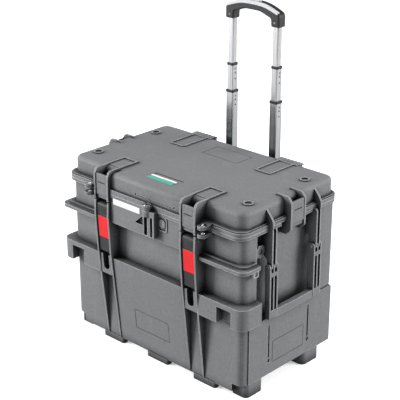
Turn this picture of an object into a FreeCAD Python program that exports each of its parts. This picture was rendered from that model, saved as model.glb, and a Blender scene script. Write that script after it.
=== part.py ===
import FreeCAD, Part
import math
import os

import Sketcher

# Rolling tool case: a moulded box on two rear wheels with a hinged lid, draw
# latches in front, rocker latches and drop handles on the sides and a
# telescopic pull handle behind. Millimetres, +Z up, front towards -Y, origin
# on the floor under the middle of the footprint.

doc = FreeCAD.newDocument("RollingToolCase")

# Driving sizes

SIZES = {
    "side_half": 298,      # half width over the lower side panels
    "wall_half": 276,      # half width over the recessed side walls
    "lid_half": 290,       # half width of the lid wall
    "out_half": 316,       # half width over belts and ledges
    "front_in": 162,       # front wall outside the latches
    "front_out": 186,      # belts, ledges and the panel between the latches
    "rear_wall": 180,      # rear wall
    "floor_z": 36,         # underside of the box
    "rim_z": 428,          # parting plane of lid and box
    "lid_top": 483,        # flat top of the lid
    "wall": 6,             # moulded wall
    "belt_lo": 200,        # lower edge of the corner belts
    "belt_hi": 254,        # upper edge of the corner belts
    "latch_x": 148,        # middle of a front latch
    "rib_gap": 46,         # pitch of the two ribs beside a latch
    "rib": 5,              # rib thickness
    "side_mid": 10,        # middle of the side handle, behind the case's middle
    "arm_half": 82.5,      # half pitch of the side handle's arms
    "hinge_y": 186.5,       # lid hinge axis, back
    "hinge_z": 479,        # lid hinge axis, height
    "hinge_x": 147,        # middle of a hinge comb
    "tube_x": 74,          # pull handle tubes, half pitch
    "tube_y": 207,         # pull handle tubes, back
    "wheel_r": 40,         # wheel radius
    "wheel_x": 172,        # middle of a wheel
    "wheel_y": 186,        # wheel axis, back
    "tab_front": 209,      # foremost point, on the padlock tabs
}

sheet = doc.addObject("Spreadsheet::Sheet", "Sizes")
for row, (name, value) in enumerate(SIZES.items(), 1):
    sheet.set("A%d" % row, name)
    sheet.set("B%d" % row, str(value))
    sheet.setAlias("B%d" % row, name)
doc.recompute()


# A size that carries its value and the expression that drives it

class Dim:
    def __init__(self, value, text):
        self.value = float(value)
        self.text = text

    def _join(self, other, sign, swap=False):
        other = dim(other)
        a, b = (other, self) if swap else (self, other)
        done = {"+": float.__add__, "-": float.__sub__, "*": float.__mul__, "/": float.__truediv__}
        value = done[sign](a.value, b.value)
        if a.fixed() and b.fixed():
            return dim(value)
        return Dim(value, "(%s %s %s)" % (a.text, sign, b.text))

    def fixed(self):
        return "Sizes." not in self.text

    def __add__(self, other):
        return self._join(other, "+")

    def __radd__(self, other):
        return self._join(other, "+", True)

    def __sub__(self, other):
        return self._join(other, "-")

    def __rsub__(self, other):
        return self._join(other, "-", True)

    def __mul__(self, other):
        return self._join(other, "*")

    def __rmul__(self, other):
        return self._join(other, "*", True)

    def __truediv__(self, other):
        return self._join(other, "/")

    def __neg__(self):
        return self._join(-1, "*")


def dim(value):
    if isinstance(value, Dim):
        return value
    return Dim(value, "(%.6f)" % float(value))


def size(name):
    return Dim(SIZES[name], "Sizes." + name)


def bind(obj, prop, value):
    value = dim(value)
    if not value.fixed():
        obj.setExpression(prop, value.text)


side_half = size("side_half")
wall_half = size("wall_half")
lid_half = size("lid_half")
out_half = size("out_half")
front_in = size("front_in")
front_out = size("front_out")
rear_wall = size("rear_wall")
floor_z = size("floor_z")
rim_z = size("rim_z")
lid_top = size("lid_top")
wall = size("wall")
belt_lo = size("belt_lo")
belt_hi = size("belt_hi")
latch_x = size("latch_x")
rib_gap = size("rib_gap")
rib = size("rib")
side_mid = size("side_mid")
arm_half = size("arm_half")
hinge_y = size("hinge_y")
hinge_z = size("hinge_z")
hinge_x = size("hinge_x")
tube_x = size("tube_x")
tube_y = size("tube_y")
wheel_r = size("wheel_r")
wheel_x = size("wheel_x")
wheel_y = size("wheel_y")
tab_front = size("tab_front")

# The case is laid out about the middle of its lid and moved so that the
# footprint from padlock tab to wheel is centred on the origin.
shift = (tab_front - wheel_y - wheel_r) * 0.5

NODES = []


# Sketch loops: corner points with an optional radius, or a circle

def box(x0, x1, y0, y1, r=None):
    corners = [(x0, y0), (x1, y0), (x1, y1), (x0, y1)]
    return [c if r is None else c + (r,) for c in corners]


def circle(x, y, r):
    return ("circle", x, y, r)


def add_circle(sketch, loop, constraints, links):
    x, y, r = [dim(v) for v in loop[1:]]
    centre = FreeCAD.Vector(x.value, y.value, 0)
    g = sketch.addGeometry(Part.Circle(centre, FreeCAD.Vector(0, 0, 1), r.value), False)
    for kind, value in (("DistanceX", x), ("DistanceY", y)):
        links.append((len(constraints), value))
        constraints.append(Sketcher.Constraint(kind, -1, 1, g, 3, value.value))
    links.append((len(constraints), r))
    constraints.append(Sketcher.Constraint("Radius", g, r.value))


def add_corners(sketch, loop, constraints, links):
    points = [(dim(p[0]), dim(p[1]), dim(p[2]) if len(p) > 2 else None) for p in loop]
    count = len(points)
    flat = [FreeCAD.Vector(p[0].value, p[1].value, 0) for p in points]
    starts, ends, arcs = [], [], []
    for i, (here, spec) in enumerate(zip(flat, points)):
        before = flat[i - 1] - here
        after = flat[(i + 1) % count] - here
        if spec[2] is None:
            starts.append(here)
            ends.append(here)
            arcs.append(None)
            continue
        u = FreeCAD.Vector(before).normalize()
        v = FreeCAD.Vector(after).normalize()
        half = math.acos(max(-1.0, min(1.0, u.dot(v)))) / 2
        r = spec[2].value
        starts.append(here + u * (r / math.tan(half)))
        ends.append(here + v * (r / math.tan(half)))
        centre = here + (u + v).normalize() * (r / math.sin(half))
        left = (u * -1).cross(v).z > 0
        first, last = (starts[i], ends[i]) if left else (ends[i], starts[i])
        a0 = math.atan2(first.y - centre.y, first.x - centre.x)
        a1 = math.atan2(last.y - centre.y, last.x - centre.x)
        ring = Part.Circle(centre, FreeCAD.Vector(0, 0, 1), r)
        arcs.append((Part.ArcOfCircle(ring, a0, a1), left))
    lines = []
    for i in range(count):
        segment = Part.LineSegment(ends[i], starts[(i + 1) % count])
        lines.append(sketch.addGeometry(segment, False))
    for i, (x, y, r) in enumerate(points):
        before, after = lines[i - 1], lines[i]
        if r is None:
            constraints.append(Sketcher.Constraint("Coincident", before, 2, after, 1))
            point, pos = after, 1
        else:
            arc, left = arcs[i]
            g = sketch.addGeometry(arc, False)
            point, pos = sketch.addGeometry(Part.Point(flat[i]), True), 1
            enter, leave = (1, 2) if left else (2, 1)
            constraints.append(Sketcher.Constraint("Tangent", before, 2, g, enter))
            constraints.append(Sketcher.Constraint("Tangent", g, leave, after, 1))
            constraints.append(Sketcher.Constraint("PointOnObject", point, 1, before))
            constraints.append(Sketcher.Constraint("PointOnObject", point, 1, after))
            links.append((len(constraints), r))
            constraints.append(Sketcher.Constraint("Radius", g, r.value))
        for kind, value in (("DistanceX", x), ("DistanceY", y)):
            links.append((len(constraints), value))
            constraints.append(Sketcher.Constraint(kind, -1, 1, point, pos, value.value))


# One sub-part: a body that grows by prisms and cuts along the three axes

class Piece:
    def __init__(self, label, moved=True, region=False):
        self.body = doc.addObject("PartDesign::Body", label)
        self.body.Label = label
        self.offset = shift if moved else dim(0)
        self.serial = 0
        self.features = []
        if not region:
            NODES.append(self.body)

    def plane(self, role):
        return [f for f in self.body.Origin.OriginFeatures if f.Role == role][0]

    def sketch(self, role, height, loops):
        self.serial += 1
        sketch = self.body.newObject("Sketcher::SketchObject", "%s_s%d" % (self.body.Label, self.serial))
        sketch.AttachmentSupport = [(self.plane(role), "")]
        sketch.MapMode = "FlatFace"
        height = dim(height)
        base = FreeCAD.Vector(0, 0, height.value)
        sketch.AttachmentOffset = FreeCAD.Placement(base, FreeCAD.Rotation())
        bind(sketch, "AttachmentOffset.Base.z", height)
        constraints, links = [], []
        for loop in loops:
            if loop[0] == "circle":
                add_circle(sketch, loop, constraints, links)
            else:
                add_corners(sketch, loop, constraints, links)
        sketch.addConstraint(constraints)
        for index, value in links:
            bind(sketch, "Constraints[%d]" % index, value)
        return sketch

    def feature(self, kind, sketch, length):
        length = dim(length)
        feature = self.body.newObject("PartDesign::" + kind, "%s_f%d" % (self.body.Label, self.serial))
        feature.Profile = sketch
        feature.Length = length.value
        bind(feature, "Length", length)
        self.features.append(feature)
        return feature

    def shifted(self, loops, index):
        moved = []
        for loop in loops:
            if loop[0] == "circle":
                values = list(loop)
                values[index + 1] = dim(values[index + 1]) + self.offset
                moved.append(tuple(values))
            else:
                corners = []
                for corner in loop:
                    values = list(corner)
                    values[index] = dim(values[index]) + self.offset
                    corners.append(tuple(values))
                moved.append(corners)
        return moved

    def z_prism(self, z0, z1, *loops):
        z0, z1 = dim(z0), dim(z1)
        return self.feature("Pad", self.sketch("XY_Plane", z0, self.shifted(loops, 1)), z1 - z0)

    def y_prism(self, y0, y1, *loops):
        y0, y1 = dim(y0) + self.offset, dim(y1) + self.offset
        return self.feature("Pad", self.sketch("XZ_Plane", -y1, loops), y1 - y0)

    def x_prism(self, x0, x1, *loops):
        x0, x1 = dim(x0), dim(x1)
        return self.feature("Pad", self.sketch("YZ_Plane", x0, self.shifted(loops, 0)), x1 - x0)

    def z_cut(self, z0, z1, *loops):
        z0, z1 = dim(z0), dim(z1)
        return self.feature("Pocket", self.sketch("XY_Plane", z1, self.shifted(loops, 1)), z1 - z0)

    def y_cut(self, y0, y1, *loops):
        y0, y1 = dim(y0) + self.offset, dim(y1) + self.offset
        return self.feature("Pocket", self.sketch("XZ_Plane", -y0, loops), y1 - y0)

    def x_cut(self, x0, x1, *loops):
        x0, x1 = dim(x0), dim(x1)
        return self.feature("Pocket", self.sketch("YZ_Plane", x1, self.shifted(loops, 0)), x1 - x0)

    def mirror(self):
        doc.recompute()
        originals = list(self.features)
        mirror = self.body.newObject("PartDesign::Mirrored", self.body.Label + "_mirror")
        mirror.Originals = originals
        mirror.MirrorPlane = (self.plane("YZ_Plane"), [""])
        self.body.Tip = mirror
        self.features.append(mirror)
        return mirror

    def round_edges(self, kind, radius, wanted):
        doc.recompute()
        base = self.body.Tip
        names = ["Edge%d" % (i + 1) for i, edge in enumerate(base.Shape.Edges) if wanted(edge)]
        feature = self.body.newObject("PartDesign::" + kind, self.body.Label + "_" + kind.lower())
        feature.Base = (base, names)
        if kind == "Fillet":
            feature.Radius = radius
        else:
            feature.Size = radius
        self.features.append(feature)
        return feature


def region(label):
    return Piece(label, region=True)


def fuse(label, pieces):
    whole = doc.addObject("Part::MultiFuse", label)
    whole.Label = label
    whole.Shapes = [piece.body for piece in pieces]
    whole.Refine = True
    NODES.append(whole)
    return whole


def both(loop):
    if loop[0] == "circle":
        return [loop, circle(-dim(loop[1]), loop[2], loop[3])]
    return [loop, [(-dim(c[0]),) + tuple(c[1:]) for c in reversed(loop)]]


# Levels and lines shared by the tub, the lid and the latches

rim_lo = rim_z - 8
up_half = side_half - 2
side_in = side_half - 3
flange_half = lid_half + 10
flange_front = front_in + 14
flange_rear = rear_wall + 8
lid_front = front_in - 2
lid_base = rim_z + 0.3
rib_lo = latch_x - rib_gap * 0.5
rib_hi = latch_x + rib_gap * 0.5
prow_half = rib_lo - rib * 0.5 - 0.5
rib_face = front_out + 9
ledge_lo = rim_z - 85
ledge_hi = rim_z - 76
skirt_z = 14
tab_side = rib_hi + 27
tab_left = rib_hi + 18
tab_mid = 17
post_mid = tab_mid + 9
lock_x = 60
lock_z = rim_z - 26
handle_x = 303
handle_z = 330
handle_out = 312
arm_front = side_mid - arm_half
arm_rear = side_mid + arm_half
lever_y = front_out - 4
lever_z = rim_z - 40
rocker_z = rim_z + 2
rocker_y = front_out - 2
pin_r = 2.5
hinge_r = 6
comb_half = 35.5
comb_pitch = 11
fit = 0.05


def comb(first, width, number):
    spans = []
    for k in range(number):
        start = hinge_x - comb_half + first + k * comb_pitch
        spans.append((start, start + width))
    return spans


# Tub: the moulded box. Shell with a lower bin, a slightly narrower upper wall
# and the rim flange, hollow inside with a step at the rear for the wheels.

inner = front_in - wall
tub_shell = region("tub_shell")
tub_shell.z_prism(floor_z, belt_lo, box(-side_in, side_in, -front_in, rear_wall, 20))
tub_shell.z_prism(belt_lo, rim_lo, box(-up_half, up_half, -front_in, rear_wall, 20))
tub_shell.z_prism(rim_lo, rim_z, box(-flange_half, flange_half, -flange_front, flange_rear, 30))
tub_shell.x_cut(wall_half, side_half + 4, box(-118, 118, belt_lo - 8, rim_lo, 6))
tub_shell.x_cut(-side_half - 4, -wall_half, box(-118, 118, belt_lo - 8, rim_lo, 6))
tub_shell.x_cut(-wall_half + wall, wall_half - wall, [
    (-inner, floor_z + wall, 8), (rear_wall - 46, floor_z + wall, 8), (rear_wall - 46, 104, 4),
    (rear_wall - wall, 104, 8), (rear_wall - wall, rim_z + 2), (-inner, rim_z + 2)])
tub_shell.x_cut(-side_in + wall, side_in - wall, [
    (-inner + 16, floor_z + wall, 8), (rear_wall - 46, floor_z + wall, 8), (rear_wall - 46, 104, 4),
    (rear_wall - 22, 104, 8), (rear_wall - 22, belt_lo - 8 - wall, 8),
    (-inner + 16, belt_lo - 8 - wall, 8)])
tub_shell.y_cut(-front_in - 1, -inner + 1, box(-prow_half + wall, prow_half - wall, 60, belt_hi - 8))
tub_shell.x_cut(-212, 212, [(rear_wall - 40, 0), (rear_wall + 20, 0), (rear_wall + 20, 97),
    (rear_wall - 40, 97)])
tub_shell.z_cut(rim_lo - 1, rim_z + 1, *both(box(wall_half + 0.5, flange_half + 20, side_mid - 46,
    side_mid + 34)))


def panel_y(level):
    """Depth of the leaning front panel's face at a height."""
    lean = (front_out - front_in) / (belt_hi - 2 - skirt_z)
    return -(front_in + (level - skirt_z) * lean)


# Front of the tub: tapering panel, lock panel, padlock post and tabs
tub_front = region("tub_front")
tub_front.x_prism(-prow_half, prow_half, [
    (-front_in + 2, skirt_z), (-front_in, skirt_z), (-front_out, belt_hi - 2),
    (-front_in + 2, belt_hi - 2)])
tub_front.x_cut(-prow_half + wall, prow_half - wall, [
    (-front_in + 4, 60), (-front_in + 1, 60), (-front_out + wall, belt_hi - 8),
    (-front_in + 4, belt_hi - 8)])
for x0, x1, z0, z1 in ((-60, -58.6, 71, 127), (58.6, 60, 71, 127), (-60, 60, 71, 72.4),
    (-60, 60, 125.6, 127)):
    tub_front.x_cut(x0, x1, [
        (panel_y(z0) - 1, z0), (panel_y(z0) + 0.8, z0), (panel_y(z1) + 0.8, z1), (panel_y(z1) - 1, z1)])
tub_front.z_prism(rim_lo, rim_z, box(-prow_half, prow_half, -front_out - 4, -front_in + 2))
tub_front.y_prism(-front_out - 2, -front_in + 2, box(-prow_half, prow_half, ledge_hi, rim_lo))
tub_front.y_prism(-tab_front + 6, -front_out, box(post_mid - 19, post_mid + 19, ledge_hi + 10, rim_z))
tub_front.y_cut(-tab_front + 5, -front_out - 3, *[
    box(tab_mid + left, tab_mid + right, ledge_hi + 12, rim_lo - 6)
    for left, right in ((-5.5, 5.5), (15, 23))])
tub_front.y_cut(-front_out - 3, -front_out + 6, [(-37, rim_z - 50), (-6, rim_z - 50), (-6, rim_z - 24)])
tub_front.y_prism(-front_out - 4, -front_out, box(lock_x - 16, lock_x + 16, lock_z - 20, lock_z + 18, 6),
                  box(lock_x - 13, lock_x + 13, lock_z - 17, lock_z + 17, 4))
tub_front.y_prism(-front_out - 4.5, -front_out, circle(lock_x, lock_z, 11))
tub_front.y_cut(-front_out - 5, -front_out + 16, circle(lock_x, lock_z, 8))
tub_front.y_cut(-front_out - 3, -front_out - 0.9, box(-113.2, -18.8, rim_z - 24.2, rim_z - 8.8))
tub_front.z_prism(rim_lo - 6, rim_z, box(tab_mid - 13, tab_mid + 13, -tab_front, -front_out + 6, 12))
tub_front.z_prism(rim_z - 15, rim_z - 7, *[
    box(across - 11, across + 11, -tab_front, -front_in + 3, 10.9) for across in (tab_side, -tab_left)])
tub_front.z_cut(rim_z - 16, rim_z + 1, *[
    circle(across, -tab_front + 13, 6) for across in (tab_mid, tab_side, -tab_left)])

# Ledges and belts round the front corners
tub_corners = region("tub_corners")
for low, high, front, half, back, r in (
        (ledge_lo, ledge_hi, front_out, out_half, -125, 20),
        (ledge_hi, ledge_hi + 6, front_in + 10, up_half + 8, -128, 16),
        (belt_lo, belt_hi, front_out, out_half, -118, 24)):
    tub_corners.z_prism(low, high, *both([
        (rib_hi, -front), (half, -front, r), (half, back, 3), (wall_half - 3, back),
        (wall_half - 3, -front_in + 3),
        (rib_hi, -front_in + 3)]))
tub_corners.y_cut(-front_out - 1, -front_in - 4, *both(box(232, 278, belt_lo - 1, belt_hi - 12)))

# Latch ribs, the bridge between them with its finger slot, and the pin holes
tub_latch = region("tub_latch")
for middle in (rib_lo, rib_hi):
    tub_latch.x_prism(middle - rib * 0.5, middle + rib * 0.5, [
        (-front_in + 3, rim_z - 24), (-rib_face, rim_z - 24, 3), (-rib_face - 2, rim_z - 58, 30),
        (-front_out - 5, belt_hi + 8, 60), (-front_in - 2, skirt_z + 2), (-front_in + 3, skirt_z + 2)])
tub_latch.x_prism(rib_lo, rib_hi, [
    (-front_in + 3, belt_lo), (-front_out + 3, belt_lo), (-front_out - 1, belt_hi + 2, 3),
    (-front_in + 3, belt_hi + 2)])
tub_latch.y_cut(-front_out - 5, -front_in - 7, [
    (latch_x - 11, belt_hi + 4), (latch_x - 11, belt_lo + 12, 10.5), (latch_x + 11, belt_lo + 12, 10.5),
    (latch_x + 11, belt_hi + 4)])
tub_latch.x_cut(rib_lo - rib, rib_hi + rib, circle(-lever_y, lever_z, pin_r + 0.02))
tub_latch.mirror()

# Side panels with their grooves, and the brackets that carry the handles
tub_side = region("tub_side")
tub_side.x_prism(side_in - 2, side_half, box(-142, rear_wall - 8, floor_z, belt_lo - 8, 4))
tub_side.x_cut(side_half - 2.5, side_half + 1, *[
    loop for groove in (-70, 80) for loop in (box(groove - 2.5, groove + 2.5, 82, belt_lo - 30),
    circle(groove, 74, 5))])
tub_side.x_cut(side_half - 0.8, side_half + 1, box(-56, 64, 64, 122, 4), box(-54.6, 62.6, 65.4, 120.6, 3))
for arm in (arm_front, arm_rear):
    for side in (-6.25, 6.25):
        tub_side.y_prism(arm + side - 2, arm + side + 2, [
            (wall_half - 4, rim_z), (handle_x + 8, rim_z, 7), (handle_x + 8, handle_z - 8, 7.9),
            (handle_x - 8, handle_z - 8, 7.9), (handle_x - 8, handle_z + 16, 6),
            (wall_half - 4, handle_z + 40)])
    tub_side.y_cut(arm - 14, arm + 14, circle(handle_x, handle_z, pin_r + 0.02))
tub_side.mirror()

# Feet, front skirt and lugs under the box
tub_base = region("tub_base")
tub_base.z_prism(0, floor_z + 2, *both(box(side_half - 52, side_half - 1, -148, -86, 12)))
tub_base.z_prism(0, floor_z + 2, *both(box(side_half - 52, side_half - 1, 68, 134, 14)))
tub_base.z_prism(skirt_z, floor_z + 2, box(-side_half + 36, side_half - 36, -front_in, -front_in + 16))
tub_base.z_prism(0, skirt_z + 2, *[
    box(middle - 38, middle + 38, -front_in - 2, -front_in + 16, 6) for middle in (-152, 10, 172)])

# Hinge ears behind, slotted into combs and bored for the pins
tub_hinge = region("tub_hinge")
tub_hinge.x_prism(hinge_x - comb_half, hinge_x + comb_half, [
    (rear_wall - 2, rim_z - 40), (rear_wall + 4, rim_z - 40), (hinge_y + hinge_r, rim_z - 18),
    (hinge_y + hinge_r, hinge_z + hinge_r, 5.9), (hinge_y - hinge_r, hinge_z + hinge_r, 5.9),
    (hinge_y - hinge_r, rim_z), (rear_wall - 2, rim_z)])
tub_hinge.z_cut(rim_z, hinge_z + 10, *[
    box(a, b, rear_wall + 0.5, hinge_y + 10) for a, b in comb(-1, 6.3, 7)])
tub_hinge.x_cut(hinge_x - comb_half - 1, hinge_x + comb_half + 1, circle(hinge_y, hinge_z, pin_r + 0.02))
tub_hinge.mirror()

tub = fuse("tub", [tub_shell, tub_front, tub_corners, tub_latch, tub_side, tub_base, tub_hinge])

# Lid: a shallow tray with a rounded top and a flange, hollow below, with the
# seal groove round its underside.

lid_shell = region("lid_shell")
lid_shell.z_prism(lid_base, lid_top, box(-lid_half, lid_half, -lid_front, rear_wall, 24))
lid_shell.z_prism(lid_base, lid_top, box(-prow_half, prow_half, -front_out + 2, -lid_front + 20))
lid_shell.round_edges(
    "Fillet", 12, lambda e: all(abs(v.Point.z - lid_top.value) < 0.01 for v in e.Vertexes))
lid_shell.z_prism(lid_base, rim_z + 10, box(-flange_half, flange_half, -flange_front, flange_rear, 30))
lid_shell.z_prism(rim_z + 10, rim_z + 13, box(-flange_half + 3, flange_half - 3, -flange_front + 3,
    flange_rear - 3, 27))
lid_shell.z_prism(lid_base, rim_z + 13, box(-prow_half, prow_half, -front_out - 4, -lid_front + 4))
lid_shell.y_cut(-front_out + 1, -front_out + 4, [
    (-37, rim_z + 20), (97, rim_z + 20), (97, rim_z + 26), (93, rim_z + 26), (93, rim_z + 22),
    (-33, rim_z + 22),
    (-33, rim_z + 26), (-37, rim_z + 26)])
lid_shell.z_cut(lid_top - 0.8, lid_top + 1, box(-60, 60, 76, 138, 4), box(-58.6, 58.6, 77.4, 136.6, 3))
lid_shell.z_cut(lid_top - 1.2, lid_top + 1, box(-42, 52, -141, -106, 0.4))
lid_shell.z_cut(lid_base - 1, rim_z + 20, *both(box(
    hinge_x - comb_half - 4, hinge_x + comb_half + 4, rear_wall, flange_rear + 9)))
lid_shell.z_cut(lid_base - 1, rim_z + 14, *both(box(lid_half + 6, flange_half + 5, side_mid - 22,
    side_mid + 24)))
lid_shell.z_cut(rim_z + 8, lid_top - 5,
                box(-lid_half + 7, lid_half - 7, -lid_front + 6, rear_wall - 6, 18))
lid_shell.z_cut(lid_base - 1, rim_z + 9,
                box(-wall_half + 8, wall_half - 8, -inner + 1, rear_wall - 7, 10))
lid_shell.z_cut(rim_z + 18, lid_top - 5, box(-prow_half + 6, prow_half - 6, -front_out + 8,
    -lid_front + 16))
seal_x, seal_f, seal_r = wall_half - 0.5, front_in, rear_wall - 0.6
lid_shell.z_cut(lid_base - 1, rim_z + 3.5, box(-seal_x, seal_x, -seal_f, seal_r, 14),
                box(-seal_x + 4, seal_x - 4, -seal_f + 4, seal_r - 4, 10))

# Upper ends of the front latch ribs, with the bar that closes the channel
lid_latch = region("lid_latch")
for middle in (rib_lo, rib_hi):
    lid_latch.x_prism(middle - rib * 0.5, middle + rib * 0.5, [
        (-80, lid_top - 3), (-90, lid_top + 4, 3), (-front_out - 2, lid_top + 4, 10),
        (-rib_face, lid_top - 10, 10),
        (-rib_face - 1, rim_z - 22, 3), (-flange_front - 3, rim_z - 22, 3),
        (-flange_front - 3, rim_z + 5),
        (-lid_front + 3, rim_z + 5), (-lid_front + 3, lid_top - 6), (-lid_front + 8, lid_top - 3)])
lid_latch.x_cut(rib_lo - rib, rib_hi + rib, circle(-rocker_y, rocker_z, 2.02))
lid_latch.z_prism(lid_top - 2, lid_top + 4, box(rib_lo, rib_hi, -94, -89))
lid_latch.z_prism(lid_top - 2, lid_top + 1.5, box(rib_lo + 3, rib_hi - 3, -146, -92))
lid_latch.mirror()

# Side channel ribs and the curved gussets over the handle arms
lid_side = region("lid_side")
for middle in (side_mid - 24, side_mid + 26):
    lid_side.y_prism(middle - rib * 0.5, middle + rib * 0.5, [
        (262, lid_top - 3), (266, lid_top + 4, 3), (302, lid_top + 4, 10), (handle_out, lid_top - 10, 8),
        (handle_out, rim_z - 24, 8), (handle_x - 5, rim_z - 36, 6), (wall_half + 3, rim_z - 36),
        (wall_half + 3, rim_z + 5), (lid_half - 5, rim_z + 10), (lid_half - 5, lid_top - 6),
        (lid_half - 10, lid_top - 3)])
lid_side.y_prism(side_mid - 24, side_mid + 26, box(wall_half + 3, wall_half + 7, rim_z - 36, rim_z + 5))
lid_side.y_cut(side_mid - 28, side_mid + 30, circle(handle_out - 10, rocker_z, 2.02))
for gusset in (arm_front - 6.25, arm_rear + 6.25):
    lid_side.y_prism(gusset - 2.5, gusset + 2.5, [
        (lid_half - 5, rim_z + 5), (lid_half - 5, lid_top - 4, 4), (handle_x + 3, lid_top - 28, 40),
        (handle_out, rim_z + 16, 12), (handle_out, lid_base), (lid_half + 6, lid_base),
        (lid_half + 6, rim_z + 5)])
lid_side.mirror()

# Ring bosses for stacking, hinge pads, padlock tabs
lid_trim = region("lid_trim")
lid_trim.z_prism(lid_top - 2, lid_top + 3, *[
    ring for depth in (-104, 104) for r in (12.5, 9) for ring in both(circle(255, depth, r))])
lid_trim.z_prism(lid_top - 2, lid_top + 2.5, *both(box(hinge_x - 25, hinge_x + 25, 72, rear_wall - 2, 6)),
                 *both(box(hinge_x - 21, hinge_x + 21, 76, rear_wall - 8, 4)))
lid_trim.z_prism(lid_base, rim_z + 13, box(tab_mid - 13, tab_mid + 13, -tab_front, -front_out + 6, 12))
lid_trim.z_prism(rim_z + 5, rim_z + 13, *[
    box(across - 11, across + 11, -tab_front, -flange_front + 5, 10.9)
    for across in (tab_side, -tab_left)])
lid_trim.z_cut(lid_base - 1, rim_z + 14, *[
    circle(across, -tab_front + 13, 6) for across in (tab_mid, tab_side, -tab_left)])

# Hinge teeth that sit in the tub's combs
lid_hinge = region("lid_hinge")
lid_hinge.x_prism(hinge_x - comb_half, hinge_x + comb_half, [
    (rear_wall - 4, hinge_z - hinge_r), (hinge_y + hinge_r, hinge_z - hinge_r, 5.9),
    (hinge_y + hinge_r, hinge_z + hinge_r, 5.9), (rear_wall - 16, hinge_z + hinge_r),
    (rear_wall - 16, lid_top - 3),
    (rear_wall - 4, lid_top - 3)])
lid_hinge.z_cut(hinge_z - hinge_r - 1, hinge_z + hinge_r + 1, *[
    box(a, b, rear_wall, hinge_y + 10) for a, b in comb(5, 6, 6)])
lid_hinge.x_cut(hinge_x - comb_half - 1, hinge_x + comb_half + 1, circle(hinge_y, hinge_z, pin_r + fit))
lid_hinge.mirror()

lid = fuse("lid", [lid_shell, lid_latch, lid_side, lid_trim, lid_hinge])

# Seal: a rubber ring in the lid's groove

gasket = Piece("gasket")
gasket.z_prism(rim_z + 0.1, rim_z + 3.4,
               box(-seal_x + 0.1, seal_x - 0.1, -seal_f + 0.1, seal_r - 0.1, 14),
               box(-seal_x + 3.9, seal_x - 3.9, -seal_f + 3.9, seal_r - 3.9, 10))

# Steel eyelets in the padlock tabs, one set in the lid and one in the tub

for label, middle_seat, seat, collar in (
        ("lid_eyelets", (lid_base, rim_z + 13), (rim_z + 5, rim_z + 13), (rim_z + 13, rim_z + 14.6)),
        ("tub_eyelets", (rim_lo - 6, rim_z), (rim_z - 15, rim_z - 7), (rim_z - 16.6, rim_z - 15))):
    eyelets = Piece(label)
    for across in (tab_mid, tab_side, -tab_left):
        low, high = middle_seat if across is tab_mid else seat
        ring = circle(across, -tab_front + 13, 4.7)
        eyelets.z_prism(low, high, circle(across, -tab_front + 13, 5.95), ring)
        if label == "lid_eyelets" or across is not tab_mid:
            eyelets.z_prism(collar[0], collar[1], circle(across, -tab_front + 13, 9), ring)

# Badge in the lid's recess and the write-on plate on the front panel

badge_plate = Piece("badge_plate")
badge_plate.z_prism(lid_top - 1.2, lid_top - 0.1, box(-41.8, 42, -140.8, -125))
badge_strip = Piece("badge_strip")
badge_strip.z_prism(lid_top - 1.2, lid_top - 0.1, box(-41.8, 42, -125, -118))
front_plate = Piece("front_plate")
front_plate.y_prism(-front_out - 2.2, -front_out - 0.9, box(-113, -19, rim_z - 24, rim_z - 9, 1.5))

# Hinge pins, pressed into the tub's comb

hinge_pins = Piece("hinge_pins")
for sign in (1, -1):
    middle = hinge_x * sign
    hinge_pins.x_prism(middle - comb_half - 1, middle + comb_half + 1, circle(hinge_y, hinge_z, pin_r))

# Rocker latches: plates that turn on pins between the lid's ribs

rocker_pins = Piece("rocker_pins")
for sign in (1, -1):
    middle = latch_x * sign
    rocker_pins.x_prism(middle - rib_gap * 0.5 - 2.4, middle + rib_gap * 0.5 + 2.4,
        circle(-rocker_y, rocker_z, 2))
    rocker_pins.y_prism(side_mid - 26.4, side_mid + 28.4, circle((handle_out - 10) * sign, rocker_z, 2))

for label, sign in (("rocker_front_r", 1), ("rocker_front_l", -1)):
    rocker = Piece(label)
    middle = latch_x * sign
    rocker.x_prism(middle - 19.5, middle + 19.5, [
        (-rocker_y - 1, rim_z - 20, 1), (-rocker_y - 6, rim_z - 20, 2), (-rocker_y - 6.5, rim_z - 11),
        (-rocker_y - 9, rim_z - 9, 1), (-rocker_y - 9, lid_top - 9, 2), (-rocker_y - 3, lid_top - 9, 2),
        (-rocker_y - 3, rim_z + 10), (-rocker_y + 4, rim_z + 6, 3), (-rocker_y + 4, rim_z - 3, 3),
        (-rocker_y - 1, rim_z - 8)])
    rocker.y_cut(-rocker_y - 10, -rocker_y - 7.4, box(middle - 13, middle + 13, rim_z + 22.5,
        rim_z + 25.5, 1.4))
    rocker.x_cut(middle - 20, middle + 20, circle(-rocker_y, rocker_z, 2 + fit))

for label, sign in (("rocker_side_r", 1), ("rocker_side_l", -1)):
    rocker = Piece(label)
    axis = handle_out - 10
    rocker.y_prism(side_mid - 20.5, side_mid + 22.5, [
        ((axis + 1) * sign, rim_z - 20, 1), ((axis + 6) * sign, rim_z - 20, 2),
        ((axis + 6.5) * sign, rim_z - 11),
        ((axis + 9) * sign, rim_z - 9, 1), ((axis + 9) * sign, lid_top - 9, 2),
        ((axis + 3) * sign, lid_top - 9, 2),
        ((axis + 3) * sign, rim_z + 10), ((axis - 1.5) * sign, rim_z + 8),
        ((axis - 1.5) * sign, rim_z + 0.6),
        ((axis + 1) * sign, rim_z - 8)])
    lo, hi = ((axis + 7.4), (axis + 10)) if sign > 0 else (-(axis + 10) + dim(0), -(axis + 7.4) + dim(0))
    rocker.x_cut(lo, hi, box(side_mid - 13, side_mid + 15, rim_z + 22.5, rim_z + 25.5, 1.4))
    rocker.y_cut(side_mid - 22, side_mid + 24, circle(axis * sign, rocker_z, 2 + fit))

# Draw latches: a black lever pinned between the tub's ribs with a red button

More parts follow.
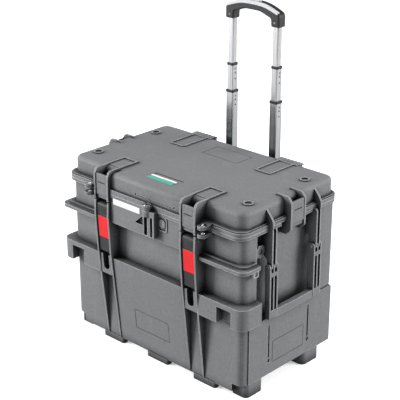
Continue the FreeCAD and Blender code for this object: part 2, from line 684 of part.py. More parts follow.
lever_pins = Piece("lever_pins")
for sign in (1, -1):
    middle = latch_x * sign
    lever_pins.x_prism(middle - rib_gap * 0.5 - 2.6, middle + rib_gap * 0.5 + 2.6,
        circle(-lever_y, lever_z, pin_r))

for label, sign in (("lever_r", 1), ("lever_l", -1)):
    lever = Piece(label)
    middle = latch_x * sign
    lever.x_prism(middle - 19, middle + 19, [
        (-lever_y - 11.5, lever_z + 11.5, 11.4), (-lever_y + 11.5, lever_z + 11.5, 11.4),
        (-lever_y + 11.5, lever_z - 8, 4), (-lever_y + 7, lever_z - 28, 6),
        (-lever_y + 7, belt_hi + 9, 2),
        (-lever_y - 5.5, belt_hi + 9, 3), (-lever_y - 11.5, lever_z - 16, 20)])
    lever.y_cut(-lever_y - 14, -lever_y + 1, box(middle - 17.3, middle + 17.3, lever_z - 84.6,
        lever_z - 26.4, 0.5))
    lever.x_cut(middle - 20, middle + 20, circle(-lever_y, lever_z, pin_r + fit))

for label, sign in (("button_r", 1), ("button_l", -1)):
    button = Piece(label)
    middle = latch_x * sign
    button.x_prism(middle - 17, middle + 17, [
        (-lever_y - 2.3, lever_z - 84.3), (-lever_y - 8.4, lever_z - 84.3, 1.5),
        (-lever_y - 11.6, lever_z - 26.7, 1.5),
        (-lever_y - 2.3, lever_z - 26.7)])

# Side handles: two ribbed arms and a bar, hung on pins between the tub's ribs

handle_pins = Piece("handle_pins")
for sign in (1, -1):
    for arm in (arm_front, arm_rear):
        handle_pins.y_prism(arm - 14.6, arm + 14.6, circle(handle_x * sign, handle_z, pin_r))

for label, sign in (("side_handle_r", 1), ("side_handle_l", -1)):
    handle = Piece(label)
    inner, outer = (handle_x - 8.5) * sign, (handle_x + 8.5) * sign
    foot = belt_lo - 4
    for arm in (arm_front, arm_rear):
        handle.y_prism(arm - 14.5, arm + 14.5, [
            (inner, handle_z + 8.5, 8.4), (outer, handle_z + 8.5, 8.4),
            ((handle_out + 0.5) * sign, foot, 3),
            ((handle_x - 3) * sign, foot, 3), ((handle_x - 6) * sign, foot + 40)])
    bow = [((handle_x - 3) * sign, arm_front), ((handle_x + 8) * sign, arm_front),
        ((handle_out + 2) * sign, side_mid, 90),
           ((handle_x + 8) * sign, arm_rear), ((handle_x - 3) * sign, arm_rear)]
    handle.z_prism(foot, foot + 20, bow)
    for arm in (arm_front, arm_rear):
        lo, hi = (285, 320) if sign > 0 else (-320, -285)
        for side in (-6.25, 6.25):
            handle.x_cut(lo, hi, box(arm + side - 4.2, arm + side + 4.2, foot + 22, handle_z - 24),
                         box(arm + side - 4.2, arm + side + 4.2, handle_z - 14, handle_z + 12))
        handle.y_cut(arm - 15, arm + 15, circle(handle_x * sign, handle_z, pin_r + fit))

# Purge valve: a seat ring in the side recess and a fluted knob

valve_y, valve_z = -99.5, rim_z - 56
valve_seat = Piece("valve_seat")
valve_seat.x_prism(wall_half, wall_half + 3, circle(valve_y, valve_z, 17.5),
    circle(valve_y, valve_z, 5.05))

valve_knob = Piece("valve_knob", moved=False)
valve_knob.x_prism(-3, 0.3, circle(0, 0, 5))
valve_knob.x_prism(0.3, 12, circle(0, 0, 16.3))
flute = valve_knob.x_cut(0.3, 13, circle(0, 18.5, 4.2))
valve_knob.x_cut(9.5, 13, circle(0, 0, 8))
polar = valve_knob.body.newObject("PartDesign::PolarPattern", "valve_knob_flutes")
polar.Originals = [flute]
polar.Axis = ([f for f in valve_knob.body.Origin.OriginFeatures if f.Role == "X_Axis"][0], [""])
polar.Angle = 360
polar.Occurrences = 9
valve_knob.body.Tip = polar
valve_place = (wall_half + 3, shift + valve_y, dim(valve_z))
valve_knob.body.Placement.Base = FreeCAD.Vector(*[v.value for v in valve_place])
for axis_name, value in zip("xyz", valve_place):
    bind(valve_knob.body, "Placement.Base." + axis_name, value)

# Key lock in the panel between the latches

lock_barrel = Piece("lock_barrel")
lock_barrel.y_prism(-front_out - 5, -front_out + 14, circle(lock_x, lock_z, 8 - fit))
lock_barrel.y_cut(-front_out - 6, -front_out - 1, box(lock_x - 0.9, lock_x + 0.9, lock_z - 5, lock_z + 5))

# Steel staples under the ledge ends

corner_staples = Piece("corner_staples")
for sign in (1, -1):
    lo, hi = (out_half - 10, out_half - 6) if sign > 0 else (-out_half + 6, -out_half + 10)
    corner_staples.x_prism(
        lo, hi, box(-143, -126, ledge_lo - 20, ledge_lo, 3), box(-139, -130, ledge_lo - 16, ledge_lo - 4, 2))

# Pull handle: a housing on the rear wall, fixed guide tubes, two sliding
# stages on each side and the grip with its own pair of tubes.

sleeve = 19
guide_half, guide_in = 13.3, 11.8
guide_top = 356
stage_half = (11.5, 9.7, 8.0)
stage_in = (10.0, 8.3, 6.5)
stage_top = (621, (711, 693))


def square(middle, half, r):
    return box(middle - half, middle + half, tube_y - half, tube_y + half, r)


trolley_housing = Piece("trolley_housing")
trolley_housing.y_prism(rear_wall, rear_wall + 6, box(-112, 112, 104, 350, 8))
for sign in (1, -1):
    trolley_housing.z_prism(48, 350, box(tube_x * sign - sleeve, tube_x * sign + sleeve, rear_wall + 4,
        tube_y + sleeve, 6))
for level in (118, 226, 336):
    trolley_housing.z_prism(level, level + 12, box(-tube_x, tube_x, rear_wall + 4, tube_y + 4))
for sign in (1, -1):
    trolley_housing.z_cut(47, 351, square(tube_x * sign, guide_half + 0.02, 3))

housing_screws = Piece("housing_screws")
for across in (-101, 101):
    for level in (125, 228, 330):
        housing_screws.y_prism(rear_wall + 6, rear_wall + 9, circle(across, level, 4.5),
            circle(across, level, 2))

guide_tubes = Piece("guide_tubes")
guide_collars = Piece("guide_collars")
for sign in (1, -1):
    guide_tubes.z_prism(50, guide_top, square(tube_x * sign, guide_half, 3),
        square(tube_x * sign, guide_in, 2))
    guide_collars.z_prism(guide_top, guide_top + 4, square(tube_x * sign, 15.5, 4),
        square(tube_x * sign, guide_in, 2))

for label, sign in (("r", 1), ("l", -1)):
    top_one, top_two = stage_top[0], stage_top[1][0 if sign > 0 else 1]
    for name, half, hollow, low, top, holes in (
            ("stage1", stage_half[0], stage_in[0], 310, top_one, (10, 20, 34)),
            ("stage2", stage_half[1], stage_in[1], top_two - 312, top_two, (10, 20, 36))):
        tube = Piece(name + "_tube_" + label)
        tube.z_prism(low, top - 6, square(tube_x * sign, half, 2.5), square(tube_x * sign, hollow, 1.2))
        wall_at = tube_x * sign + half
        tube.x_cut(wall_at - 2, wall_at + 1, *[circle(tube_y, top - 6 - drop, 2.2) for drop in holes])
        collar = Piece(name + "_collar_" + label)
        collar.z_prism(top - 6, top, square(tube_x * sign, half + 1, 3),
            square(tube_x * sign, hollow, 1.2))

grip_low, grip_top = 811, 866
grip_tubes = Piece("grip_tubes")
for sign in (1, -1):
    grip_tubes.z_prism(500, 834, square(tube_x * sign, stage_half[2], 2),
        square(tube_x * sign, stage_in[2], 1))

grip_end = tube_x + 14
grip_half = 13.5
arch = [(-grip_end, grip_low, 3), (-grip_end + 26, grip_low, 3), (-grip_end + 27, grip_low + 20, 8),
        (-24, grip_low + 33, 60), (24, grip_low + 33, 60), (grip_end - 27, grip_low + 20, 8),
        (grip_end - 26, grip_low, 3), (grip_end, grip_low, 3), (grip_end, grip_low + 34, 14),
        (40, grip_top, 150), (-40, grip_top, 150), (-grip_end, grip_low + 34, 14)]
strip = [(-grip_end + 6, grip_low + 32), (-36, grip_top - 8, 150), (36, grip_top - 8, 150),
         (grip_end - 6, grip_low + 32), (grip_end - 2, grip_low + 44), (41, grip_top + 6, 150),
         (-41, grip_top + 6, 150), (-grip_end + 2, grip_low + 44)]
grip_shell = Piece("grip_shell")
grip_shell.y_prism(tube_y - grip_half, tube_y + grip_half, arch)
grip_shell.round_edges("Fillet", 4, lambda e: e.Length > 5 and abs(e.BoundBox.YLength) < 0.01
                       and e.BoundBox.ZMax > grip_low + 22)
grip_shell.y_cut(tube_y - grip_half - 1, tube_y - 6, strip)
grip_shell.z_cut(grip_top - 8, grip_top + 4, box(-18.3, 18.3, tube_y - 4.3, tube_y + 7.3, 5))
for sign in (1, -1):
    grip_shell.z_cut(grip_low - 1, 834.1, square(tube_x * sign, stage_half[2] + 0.02, 2))

grip_insert = Piece("grip_insert")
grip_insert.y_prism(tube_y - grip_half, tube_y - 6, [
    (-grip_end + 6, grip_low + 32), (-36, grip_top - 8, 150), (36, grip_top - 8, 150),
    (grip_end - 6, grip_low + 32), (grip_end - 4, grip_low + 38), (40, grip_top, 150),
    (-40, grip_top, 150), (-grip_end + 4, grip_low + 38)])

grip_button = Piece("grip_button")
grip_button.z_prism(grip_top - 4.5, grip_top + 2, box(-18, 18, tube_y - 4, tube_y + 7, 5))

grip_screws = Piece("grip_screws")
for sign in (1, -1):
    grip_screws.y_prism(tube_y - grip_half - 1.2, tube_y - grip_half,
                        circle(tube_x * sign, grip_low + 11, 3), circle(tube_x * sign, grip_low + 11, 1.2))

# Wheels on axles between two cheeks, in the step under the rear wall

wheel_brackets = Piece("wheel_brackets")
axles = Piece("axles")
for sign in (1, -1):
    middle = wheel_x * sign
    wheel_brackets.z_prism(90, 97, box(middle - 21, middle + 21, rear_wall - 40, rear_wall, 3))
    for side in (-18.5, 18.5):
        wheel_brackets.x_prism(middle + side - 2.5, middle + side + 2.5, [
            (rear_wall - 40, 97), (rear_wall, 97), (wheel_y + 10, wheel_r + 12, 12),
            (wheel_y + 10, wheel_r - 10, 9),
            (wheel_y - 10, wheel_r - 10, 9), (rear_wall - 40, 70, 4)])
    axles.x_prism(middle - 24, middle + 24, circle(wheel_y, wheel_r, 4))
    axles.x_prism(middle + 24, middle + 26, circle(wheel_y, wheel_r, 6))
    axles.x_prism(middle - 26, middle - 24, circle(wheel_y, wheel_r, 6))
wheel_brackets.x_cut(-wheel_x - 30, wheel_x + 30, circle(wheel_y, wheel_r, 4.02))

for label, sign in (("r", 1), ("l", -1)):
    middle = wheel_x * sign
    tyre = Piece("tyre_" + label)
    tyre.x_prism(middle - 13, middle + 13, circle(wheel_y, wheel_r, wheel_r),
        circle(wheel_y, wheel_r, 30))
    tyre.round_edges("Fillet", 5, lambda e: isinstance(e.Curve, Part.Circle)
                     and abs(e.Curve.Radius - wheel_r.value) < 0.01)
    hub = Piece("hub_" + label)
    hub.x_prism(middle - 12, middle + 12, circle(wheel_y, wheel_r, 30), circle(wheel_y, wheel_r, 24))
    hub.x_prism(middle - 4, middle + 4, circle(wheel_y, wheel_r, 25))
    hub.x_prism(middle - 15.5, middle + 15.5, circle(wheel_y, wheel_r, 9))
    hub.x_cut(middle - 17, middle + 17, circle(wheel_y, wheel_r, 4 + fit))

# Check every object and write the solids

doc.recompute()
for obj in doc.Objects:
    if "Invalid" in obj.State or "Error" in obj.State:
        raise RuntimeError("object %s: %s" % (obj.Label, obj.State))
os.makedirs("parts", exist_ok=True)
for body in NODES:
    if body.Shape.isNull() or not body.Shape.isValid():
        raise RuntimeError("bad solid %s" % body.Label)
    body.Shape.exportStep("parts/%s.step" % body.Label)
    print(body.Label, len(body.Shape.Solids), round(body.Shape.Volume))
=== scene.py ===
import math

import bmesh
import bpy
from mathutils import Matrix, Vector


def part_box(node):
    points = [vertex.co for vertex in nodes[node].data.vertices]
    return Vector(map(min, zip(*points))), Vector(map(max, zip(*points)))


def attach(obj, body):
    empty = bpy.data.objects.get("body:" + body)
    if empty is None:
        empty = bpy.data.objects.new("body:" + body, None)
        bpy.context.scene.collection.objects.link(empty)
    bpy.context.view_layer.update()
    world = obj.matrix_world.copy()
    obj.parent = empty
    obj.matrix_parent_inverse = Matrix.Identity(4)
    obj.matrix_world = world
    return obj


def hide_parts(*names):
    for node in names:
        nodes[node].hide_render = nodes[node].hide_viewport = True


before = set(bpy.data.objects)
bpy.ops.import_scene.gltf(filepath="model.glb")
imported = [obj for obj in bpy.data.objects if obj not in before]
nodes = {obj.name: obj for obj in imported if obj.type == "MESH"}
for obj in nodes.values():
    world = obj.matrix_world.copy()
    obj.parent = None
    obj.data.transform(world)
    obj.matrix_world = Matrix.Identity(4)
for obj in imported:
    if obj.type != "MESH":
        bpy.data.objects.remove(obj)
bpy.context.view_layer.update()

# The box and the lid: the two halves of the case, injection moulded in mid-grey
# polypropylene with a fine spark-eroded grain. The lid turns on the hinge pins,
# and every sharp edge has the small radius of the mould.

edge_rays = 6
sky_rays = 10


class Signal:
    """A shader socket that takes part in plain arithmetic."""

    def __init__(self, finish, socket):
        self.finish = finish
        self.socket = socket

    def _with(self, operation, first, second):
        return self.finish.node("ShaderNodeMath", {"operation": operation}, {0: first, 1: second})

    def __add__(self, other):
        return self._with("ADD", self, other)

    def __radd__(self, other):
        return self._with("ADD", other, self)

    def __sub__(self, other):
        return self._with("SUBTRACT", self, other)

    def __rsub__(self, other):
        return self._with("SUBTRACT", other, self)

    def __mul__(self, other):
        return self._with("MULTIPLY", self, other)

    def __rmul__(self, other):
        return self._with("MULTIPLY", other, self)


class Finish:
    """One surface finish: a Principled shader and the nodes that feed it."""

    def __init__(self, name, **constants):
        self.material = bpy.data.materials.new(name)
        self.material.use_nodes = True
        self.tree = self.material.node_tree
        self.tree.nodes.clear()
        self.shader = self.tree.nodes.new("ShaderNodeBsdfPrincipled")
        output = self.tree.nodes.new("ShaderNodeOutputMaterial")
        self.tree.links.new(self.shader.outputs["BSDF"], output.inputs["Surface"])
        for socket, value in constants.items():
            self.shader.inputs[socket.replace("_", " ")].default_value = value
        self.place = self.node("ShaderNodeTexCoord", output="Object")

    def node(self, kind, settings=None, sockets=None, output=0):
        made = self.tree.nodes.new(kind)
        for name, value in (settings or {}).items():
            if name == "stops":
                ramp = made.color_ramp
                ramp.elements[0].position, ramp.elements[1].position = value
            else:
                setattr(made, name, value)
        for name, value in (sockets or {}).items():
            if isinstance(value, Signal):
                self.tree.links.new(value.socket, made.inputs[name])
            else:
                made.inputs[name].default_value = value
        return Signal(self, made.outputs[output])

    def feed(self, socket, signal):
        self.tree.links.new(signal.socket, self.shader.inputs[socket])

    def noise(self, scale, detail=3.0, stretch=(1, 1, 1)):
        where = self.node("ShaderNodeMapping", sockets={"Vector": self.place, "Scale": stretch})
        return self.node("ShaderNodeTexNoise",
                         sockets={"Vector": where, "Scale": scale, "Detail": detail})

    def mask(self, signal, low, high):
        return self.node("ShaderNodeValToRGB", {"stops": (low, high)}, {"Fac": signal})

    def blend(self, amount, first, second):
        return self.node("ShaderNodeMix", {"data_type": "RGBA"},
                         {0: amount, 6: first, 7: second}, output=2)

    def bump(self, height, strength, distance, radius):
        rounded = self.node("ShaderNodeBevel", {"samples": edge_rays}, {"Radius": radius})
        normal = self.node("ShaderNodeBump", sockets={
            "Height": height, "Strength": strength, "Distance": distance, "Normal": rounded})
        self.feed("Normal", normal)

    # Mask for the painted highlight: a pale colour painted along edges where light catches them.
    def painted_highlight_edge(self, radius):
        """1 along a convex or concave edge of the moulding, 0 on its flat faces."""
        rounded = self.node("ShaderNodeBevel", {"samples": edge_rays}, {"Radius": radius})
        flat = self.node("ShaderNodeNewGeometry", output="Normal")
        same = self.node("ShaderNodeVectorMath", {"operation": "DOT_PRODUCT"},
                         {0: rounded, 1: flat}, output="Value")
        first_turn, full_turn = 0.01, 0.16
        return self.mask(1 - same, first_turn, full_turn)

    # Ambient occlusion, from which moulded() paints shade into gaps and recesses.
    def open_sky(self, reach):
        """1 on an open face, less in a recess or close to a neighbour."""
        return self.node("ShaderNodeAmbientOcclusion", {"samples": sky_rays},
                         {"Distance": reach}, output="AO")

    def ribbed(self):
        """0 on the engraved panels of the lid and the box, 1 on their ribs and ledges."""
        low_panel_top, lid_face = 0.16, 0.48
        front_half, side_half = 0.108, 0.078
        across, along, up = [
            self.node("ShaderNodeSeparateXYZ", sockets={"Vector": self.place}, output=axis)
            for axis in "XYZ"]
        across, along = [
            self.node("ShaderNodeMath", {"operation": "ABSOLUTE"}, {0: axis}) for axis in (across, along)]
        below = self.node("ShaderNodeMath", {"operation": "LESS_THAN"}, {0: up, 1: low_panel_top})
        above = self.node("ShaderNodeMath", {"operation": "GREATER_THAN"}, {0: up, 1: lid_face})
        middle = self.node("ShaderNodeMath", {"operation": "LESS_THAN"}, {0: across, 1: front_half})
        beside = self.node("ShaderNodeMath", {"operation": "LESS_THAN"}, {0: along, 1: side_half})
        return (1 - middle * above) * (1 - middle * below) * (1 - beside * below)


def rgb(red, green, blue):
    """Screen colour, 0 to 255, as the linear colour a shader takes."""
    linear = []
    for part in (red, green, blue):
        part /= 255
        linear.append(part / 12.92 if part <= 0.04045 else ((part + 0.055) / 1.055) ** 2.4)
    return (*linear, 1.0)


def moulded(name, colour, pale, grain=0.22, rough=0.5, scale=1300,
            painted_shade=None, edge=None, shine=0.4, radius=0.0008):
    """Moulded plastic or rubber: grain, faint scuffs, painted shade in gaps and recesses, and a painted
    highlight along the edges.
    """
    highlight_edge_width, grain_depth = 0.0021, 0.0003
    gap_reach, recess_reach = 0.004, 0.038
    cloud_scale, scuff_scale, mottle_scale = 5.0, 38.0, 230.0
    finish = Finish(name, Specular_IOR_Level=shine)
    broad = finish.noise(cloud_scale, 4.0)
    scuff = finish.mask(finish.noise(scuff_scale, 6.0, (1.0, 1.0, 0.35)), 0.56, 0.74)
    speck = finish.noise(scale, 2.0)
    mottle = finish.mask(finish.noise(mottle_scale, 3.0), 0.28, 0.72)
    tone = finish.blend(broad * 0.35 + mottle * 0.45 + scuff * 0.12, colour, pale)
    # Painted highlight: a pale colour painted along the edges of ribs and ledges, kept off the engraved
    # panels.
    if edge:
        tone = finish.blend(finish.painted_highlight_edge(highlight_edge_width) * finish.ribbed(), tone, edge)
    # Painted shade: the colour is darkened towards near-black in narrow gaps and in recesses, by ambient
    # occlusion.
    if painted_shade:
        tone = finish.blend(finish.mask(finish.open_sky(gap_reach), 0.50, 0.92), painted_shade, tone)
        tone = finish.blend(finish.mask(finish.open_sky(recess_reach), 0.46, 0.96), painted_shade, tone)
    finish.feed("Base Color", tone)
    finish.feed("Roughness", rough + 0.10 * broad - 0.08 * scuff + 0.06 * speck)
    finish.bump(speck + 0.4 * finish.noise(scale * 0.3, 2.0), grain, grain_depth, radius)
    return finish.material


def dress(node, material, radius=0.0):
    """Gives a CAD node its finish and breaks its sharp edges to the given radius."""
    piece = nodes[node]
    piece.data.materials.clear()
    piece.data.materials.append(material)
    weld_distance, flat_angle, sharp_angle = 2e-6, math.radians(0.6), math.radians(32)
    if radius:
        joined = piece.modifiers.new("joined faces", "WELD")
        joined.merge_threshold = weld_distance
        flat = piece.modifiers.new("whole faces", "DECIMATE")
        flat.decimate_type = "DISSOLVE"
        flat.angle_limit = flat_angle
        edge = piece.modifiers.new("edge radius", "BEVEL")
        edge.offset_type = "ABSOLUTE"
        edge.width = radius
        edge.segments = 2
        edge.limit_method = "ANGLE"
        edge.angle_limit = sharp_angle
        edge.use_clamp_overlap = False
        edge.harden_normals = True


# Case grey: painted shade in its gaps and recesses, and a painted highlight along its edges.
case_grey = moulded("case grey", rgb(92, 93, 95), rgb(124, 125, 127), painted_shade=rgb(7, 7, 8),
                    edge=rgb(202, 203, 205), rough=0.58, shine=0.24)
mould_radius = 0.00038
for node in ("tub", "lid"):
    dress(node, case_grey, mould_radius)

# Seal: a soft black rubber ring that keeps dust and water out. It is pressed
# into the groove that runs round the lid's underside.

seal_black = moulded("seal rubber", rgb(22, 22, 23), rgb(34, 34, 35), grain=0.1, rough=0.65)
dress("gasket", seal_black)

# Latches: grey rocker plates on the lid, black levers on the box and the red
# push buttons in them, all moulded and snapped over steel pins.

# Rocker grey: painted shade in its gaps and recesses.
rocker_grey = moulded(
    "rocker grey", rgb(94, 95, 97), rgb(122, 123, 125), rough=0.58, painted_shade=rgb(7, 7, 8), shine=0.24)
lever_black = moulded("lever black", rgb(12, 12, 13), rgb(24, 24, 25),
                      grain=0.12, rough=0.42, shine=0.22)
button_red = moulded("button red", rgb(196, 14, 20), rgb(208, 24, 30),
                     grain=0.08, rough=0.4, shine=0.25)
plate_radius, lever_radius = 0.0004, 0.0006
for side in ("r", "l"):
    dress("rocker_front_" + side, rocker_grey, plate_radius)
    dress("rocker_side_" + side, rocker_grey, plate_radius)
    dress("lever_" + side, lever_black, lever_radius)
    dress("button_" + side, button_red, lever_radius)

# Side handles: a grey bar with two ribbed arms on each end of the case, moulded
# in the case's own plastic. They hang on pins between the brackets.

handle_radius = 0.0006
for side in ("r", "l"):
    dress("side_handle_" + side, case_grey, handle_radius)

# Steel: bright zinc on the rolled eyelets, the pins and the axles, and duller
# phosphated steel on the bent corner staples and the lock barrel.


def plated(name, colour, rough, draw=0.08):
    """Bare or plated metal with fine lines drawn along Z."""
    finish = Finish(name, Metallic=1.0)
    line_scale = 420.0
    streak = finish.noise(line_scale, 3.0, (1.0, 1.0, draw))
    finish.feed("Base Color", finish.blend(streak * 0.35, colour, rgb(236, 236, 238)))
    finish.feed("Roughness", rough + 0.1 * streak)
    line_strength, line_depth, edge_radius = 0.08, 0.0002, 0.0004
    finish.bump(streak, line_strength, line_depth, edge_radius)
    return finish.material


steel_radius = 0.0003
zinc = plated("bright zinc", rgb(226, 227, 229), 0.10)
for node in ("lid_eyelets", "tub_eyelets", "hinge_pins", "rocker_pins", "lever_pins",
             "handle_pins", "axles"):
    dress(node, zinc, steel_radius)
dull_steel = plated("dull steel", rgb(58, 58, 60), 0.42)
dress("corner_staples", dull_steel, steel_radius)
burnished = plated("burnished lock", rgb(24, 24, 25), 0.5)
dress("lock_barrel", burnished, steel_radius)

# Plates: a mint badge with a white strip on the lid and a white write-on plate
# in front. They are plain sheets of plastic, the badge set in a recess.

mint = moulded("mint plate", rgb(62, 150, 130), rgb(80, 164, 146),
               grain=0.05, rough=0.4, shine=0.2)
white = moulded("white plate", rgb(216, 216, 216), rgb(226, 226, 226),
                grain=0.04, rough=0.4, shine=0.25)
sheet_radius = 0.0002
dress("badge_plate", mint, sheet_radius)
dress("badge_strip", white, sheet_radius)
dress("front_plate", white, sheet_radius)

# Purge valve: lets air into the sealed box so that the lid opens easily. A grey
# knob turns in a black moulded seat in the right-hand wall.

valve_radius = 0.0004
dress("valve_seat", lever_black, valve_radius)
dress("valve_knob", case_grey, valve_radius)

# Pull handle: polished anodised tubes that slide in one another, with black
# collars, and a black grip with a silver insert and release button.

anodised = plated("anodised tube", rgb(66, 67, 69), 0.14, draw=0.01)
grip_grey = moulded("grip silver", rgb(170, 172, 175), rgb(196, 198, 200), grain=0.06, rough=0.3)
tube_radius, collar_radius, shell_radius, insert_radius = 0.0002, 0.0004, 0.0006, 0.0005
for node in ("guide_tubes", "grip_tubes"):
    dress(node, anodised, tube_radius)
for stage in ("stage1", "stage2"):
    for side in ("r", "l"):
        dress("%s_tube_%s" % (stage, side), anodised, tube_radius)
        dress("%s_collar_%s" % (stage, side), lever_black, collar_radius)
for node in ("guide_collars", "trolley_housing", "grip_shell", "wheel_brackets"):
    dress(node, lever_black, shell_radius)
for node in ("grip_insert", "grip_button"):
    dress(node, grip_grey, insert_radius)

# Wheels: two small wheels under the rear edge, rubber tyres on black plastic
# hubs. They turn on the steel axles in the wheel brackets.

hub_radius = 0.0005
tyre_black = moulded("tyre rubber", rgb(30, 30, 31), rgb(44, 44, 45),
                     grain=0.2, rough=0.7, scale=700)
for side in ("r", "l"):
    dress("tyre_" + side, tyre_black)
    dress("hub_" + side, lever_black, hub_radius)

# Screws: steel pan heads with a cross recess. Six zinc ones hold the housing to
# the rear wall, and two dark ones hold the grip on its tubes.


def screw_head():
    """A pan head of radius 1 and height 1 on the origin, its face towards +Y."""
    mesh = bmesh.new()
    outline = ((0.0, 1.0), (0.35, 0.98), (0.66, 0.86), (0.9, 0.55),
               (1.0, 0.12), (1.0, 0.0), (0.0, 0.0))
    slot_width, slot_length, slot_depth = 0.24, 1.3, 1.2
    corners = [mesh.verts.new((across, up, 0.0)) for across, up in outline]
    rim = [mesh.edges.new(pair) for pair in zip(corners, corners[1:])]
    bmesh.ops.spin(mesh, geom=corners + rim, cent=(0, 0, 0), axis=(0, 1, 0),
                   angle=2 * math.pi, steps=24)
    bmesh.ops.remove_doubles(mesh, verts=mesh.verts, dist=1e-6)
    bmesh.ops.recalc_face_normals(mesh, faces=mesh.faces)
    head = bpy.data.objects.new("head", bpy.data.meshes.new("head"))
    mesh.to_mesh(head.data)
    mesh.free()
    bpy.context.scene.collection.objects.link(head)
    recess = bmesh.new()
    for across, along in ((slot_width, slot_length), (slot_length, slot_width)):
        cube = bmesh.ops.create_cube(recess, size=1.0)["verts"]
        bmesh.ops.scale(recess, verts=cube, vec=(across, slot_depth, along))
        bmesh.ops.translate(recess, verts=cube, vec=(0, 1.0, 0))
    cross = bpy.data.objects.new("cross", bpy.data.meshes.new("cross"))
    recess.to_mesh(cross.data)
    recess.free()
    bpy.context.scene.collection.objects.link(cross)
    cut = head.modifiers.new("recess", "BOOLEAN")
    cut.object = cross
    cut.use_self = True
    return head, cross


def screws(name, centres, radius, height, turn, plating, body, node):
    """A set of screws on the given centres, laid out by Geometry Nodes."""
    turn_seed = 4
    head, cross = screw_head()
    tree = bpy.data.node_groups.new(name + " layout", "GeometryNodeTree")
    settings = {"Head": ("Object", head), "Head radius": ("Float", radius),
                "Head height": ("Float", height), "Face turn": ("Float", turn),
                "Finish": ("Material", plating)}
    tree.interface.new_socket("Places", in_out="INPUT", socket_type="NodeSocketGeometry")
    inputs = {label: tree.interface.new_socket(label, in_out="INPUT", socket_type="NodeSocket" + kind)
              for label, (kind, value) in settings.items()}
    tree.interface.new_socket("Screws", in_out="OUTPUT", socket_type="NodeSocketGeometry")
    start = tree.nodes.new("NodeGroupInput")
    end = tree.nodes.new("NodeGroupOutput")
    shape = tree.nodes.new("GeometryNodeObjectInfo")
    chance = tree.nodes.new("FunctionNodeRandomValue")
    chance.inputs["Max"].default_value = math.pi
    chance.inputs["Seed"].default_value = turn_seed
    angles = tree.nodes.new("ShaderNodeCombineXYZ")
    sizes = tree.nodes.new("ShaderNodeCombineXYZ")
    laid = tree.nodes.new("GeometryNodeInstanceOnPoints")
    solid = tree.nodes.new("GeometryNodeRealizeInstances")
    coated = tree.nodes.new("GeometryNodeSetMaterial")
    for source, target in (
            (start.outputs["Places"], laid.inputs["Points"]),
            (start.outputs["Head"], shape.inputs["Object"]),
            (shape.outputs["Geometry"], laid.inputs["Instance"]),
            (start.outputs["Face turn"], angles.inputs["Z"]),
            (start.outputs["Head radius"], sizes.inputs["X"]),
            (start.outputs["Head height"], sizes.inputs["Y"]),
            (start.outputs["Head radius"], sizes.inputs["Z"]),
            (sizes.outputs["Vector"], laid.inputs["Scale"]),
            (chance.outputs["Value"], angles.inputs["Y"]),
            (angles.outputs["Vector"], laid.inputs["Rotation"]),
            (laid.outputs["Instances"], solid.inputs["Geometry"]),
            (solid.outputs["Geometry"], coated.inputs["Geometry"]),
            (start.outputs["Finish"], coated.inputs["Material"]),
            (coated.outputs["Geometry"], end.inputs["Screws"])):
        tree.links.new(source, target)
    points = bpy.data.meshes.new(name)
    points.from_pydata(centres, [], [])
    piece = bpy.data.objects.new(name, points)
    bpy.context.scene.collection.objects.link(piece)
    layout = piece.modifiers.new("layout", "NODES")
    layout.node_group = tree
    for label, (kind, value) in settings.items():
        layout[inputs[label].identifier] = value
    seen = piece.evaluated_get(bpy.context.evaluated_depsgraph_get())
    plain = bpy.data.meshes.new_from_object(seen)
    piece.modifiers.clear()
    piece.data = plain
    for helper in (head, cross):
        bpy.data.objects.remove(helper)
    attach(piece, body)
    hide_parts(node)


radius, height = 0.0045, 0.003
low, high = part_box("housing_screws")
screws("housing_screw_heads", [
    (across, low[1], level) for across in (low[0] + radius, high[0] - radius)
    for level in (low[2] + radius, (low[2] + high[2]) / 2, high[2] - radius)],
    radius, height, 0.0, zinc, "case", "housing_screws")
radius, height = 0.003, 0.0012
low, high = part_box("grip_screws")
screws("grip_screw_heads", [
    (across, high[1], (low[2] + high[2]) / 2) for across in (low[0] + radius, high[0] - radius)],
    radius, height, math.pi, burnished, "grip", "grip_screws")

# Studio: a pale floor and four softboxes under a sky that is bright at the
# horizon. The floor throws no light up, so undersides stay dark, and the camera
# stands at the photograph's viewing angle.

floor_size = 60
floor_finish = Finish("pale floor", Roughness=0.7, Emission_Color=(1, 1, 1, 1), Emission_Strength=0.35)
cloud = floor_finish.noise(3.0)
floor_finish.feed("Base Color", floor_finish.blend(cloud, rgb(250, 250, 250), rgb(255, 255, 255)))
bpy.ops.mesh.primitive_plane_add(size=floor_size)
floor = bpy.context.object
floor.name = "floor"
floor.data.materials.append(floor_finish.material)
floor.visible_diffuse = False

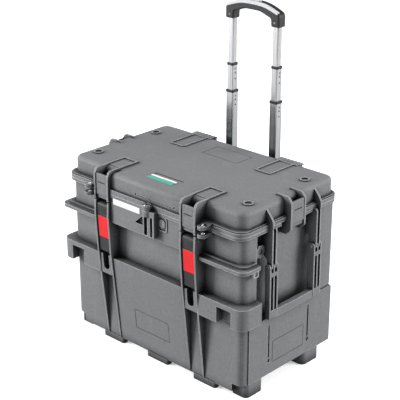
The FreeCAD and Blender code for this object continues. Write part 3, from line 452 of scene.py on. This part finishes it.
world = bpy.data.worlds.new("studio")
world.use_nodes = True
sky = world.node_tree.nodes["Background"]
towards = world.node_tree.nodes.new("ShaderNodeTexCoord")
height = world.node_tree.nodes.new("ShaderNodeSeparateXYZ")
shade = world.node_tree.nodes.new("ShaderNodeValToRGB")
sky_levels = ((-0.35, 0.10), (0.0, 0.30), (0.02, 0.85), (0.25, 0.80), (0.6, 0.32))
for rise, level in sky_levels:
    made = shade.color_ramp.elements.new((rise + 1) / 2)
    made.color = (level, level, level, 1)
shade.color_ramp.elements.remove(shade.color_ramp.elements[0])
shade.color_ramp.elements.remove(shade.color_ramp.elements[-1])
centred = world.node_tree.nodes.new("ShaderNodeMapRange")
centred.inputs["From Min"].default_value = -1.0
world.node_tree.links.new(towards.outputs["Generated"], height.inputs["Vector"])
world.node_tree.links.new(height.outputs["Z"], centred.inputs["Value"])
world.node_tree.links.new(centred.outputs["Result"], shade.inputs["Fac"])
world.node_tree.links.new(shade.outputs["Color"], sky.inputs["Color"])
bpy.context.scene.world = world
bpy.context.scene.view_settings.view_transform = "Standard"

look_at = Vector((0.0053, -0.0085, 0.3916))


def softbox(name, place, size, power):
    """A square soft light at a place, turned towards the case."""
    light = bpy.data.lights.new(name, "AREA")
    light.shape = "SQUARE"
    light.size = size
    light.energy = power
    lamp = bpy.data.objects.new(name, light)
    lamp.location = place
    lamp.rotation_euler = (look_at - Vector(place)).to_track_quat("-Z", "Y").to_euler()
    bpy.context.scene.collection.objects.link(lamp)


softbox("left light", (-3.4, -3.0, 1.6), 1.8, 330)
softbox("right light", (3.2, 2.4, 1.6), 1.8, 200)
softbox("top light", (-0.2, 0.4, 4.0), 3.0, 72)
softbox("corner light", (2.6, -3.0, 1.8), 1.6, 30)

photo_width = 400
focal_pixels = 1148.9
azimuth, elevation = math.radians(43.25), math.radians(22.30)
distance = 2.8973
back = Vector((math.sin(azimuth) * math.cos(elevation),
               -math.cos(azimuth) * math.cos(elevation),
               math.sin(elevation)))
camera_data = bpy.data.cameras.new("camera")
camera_data.sensor_width = 36.0
camera_data.lens = focal_pixels / photo_width * camera_data.sensor_width
camera = bpy.data.objects.new("camera", camera_data)
camera.location = look_at + back * distance
camera.rotation_euler = back.to_track_quat("Z", "Y").to_euler()
bpy.context.scene.collection.objects.link(camera)
bpy.context.scene.camera = camera
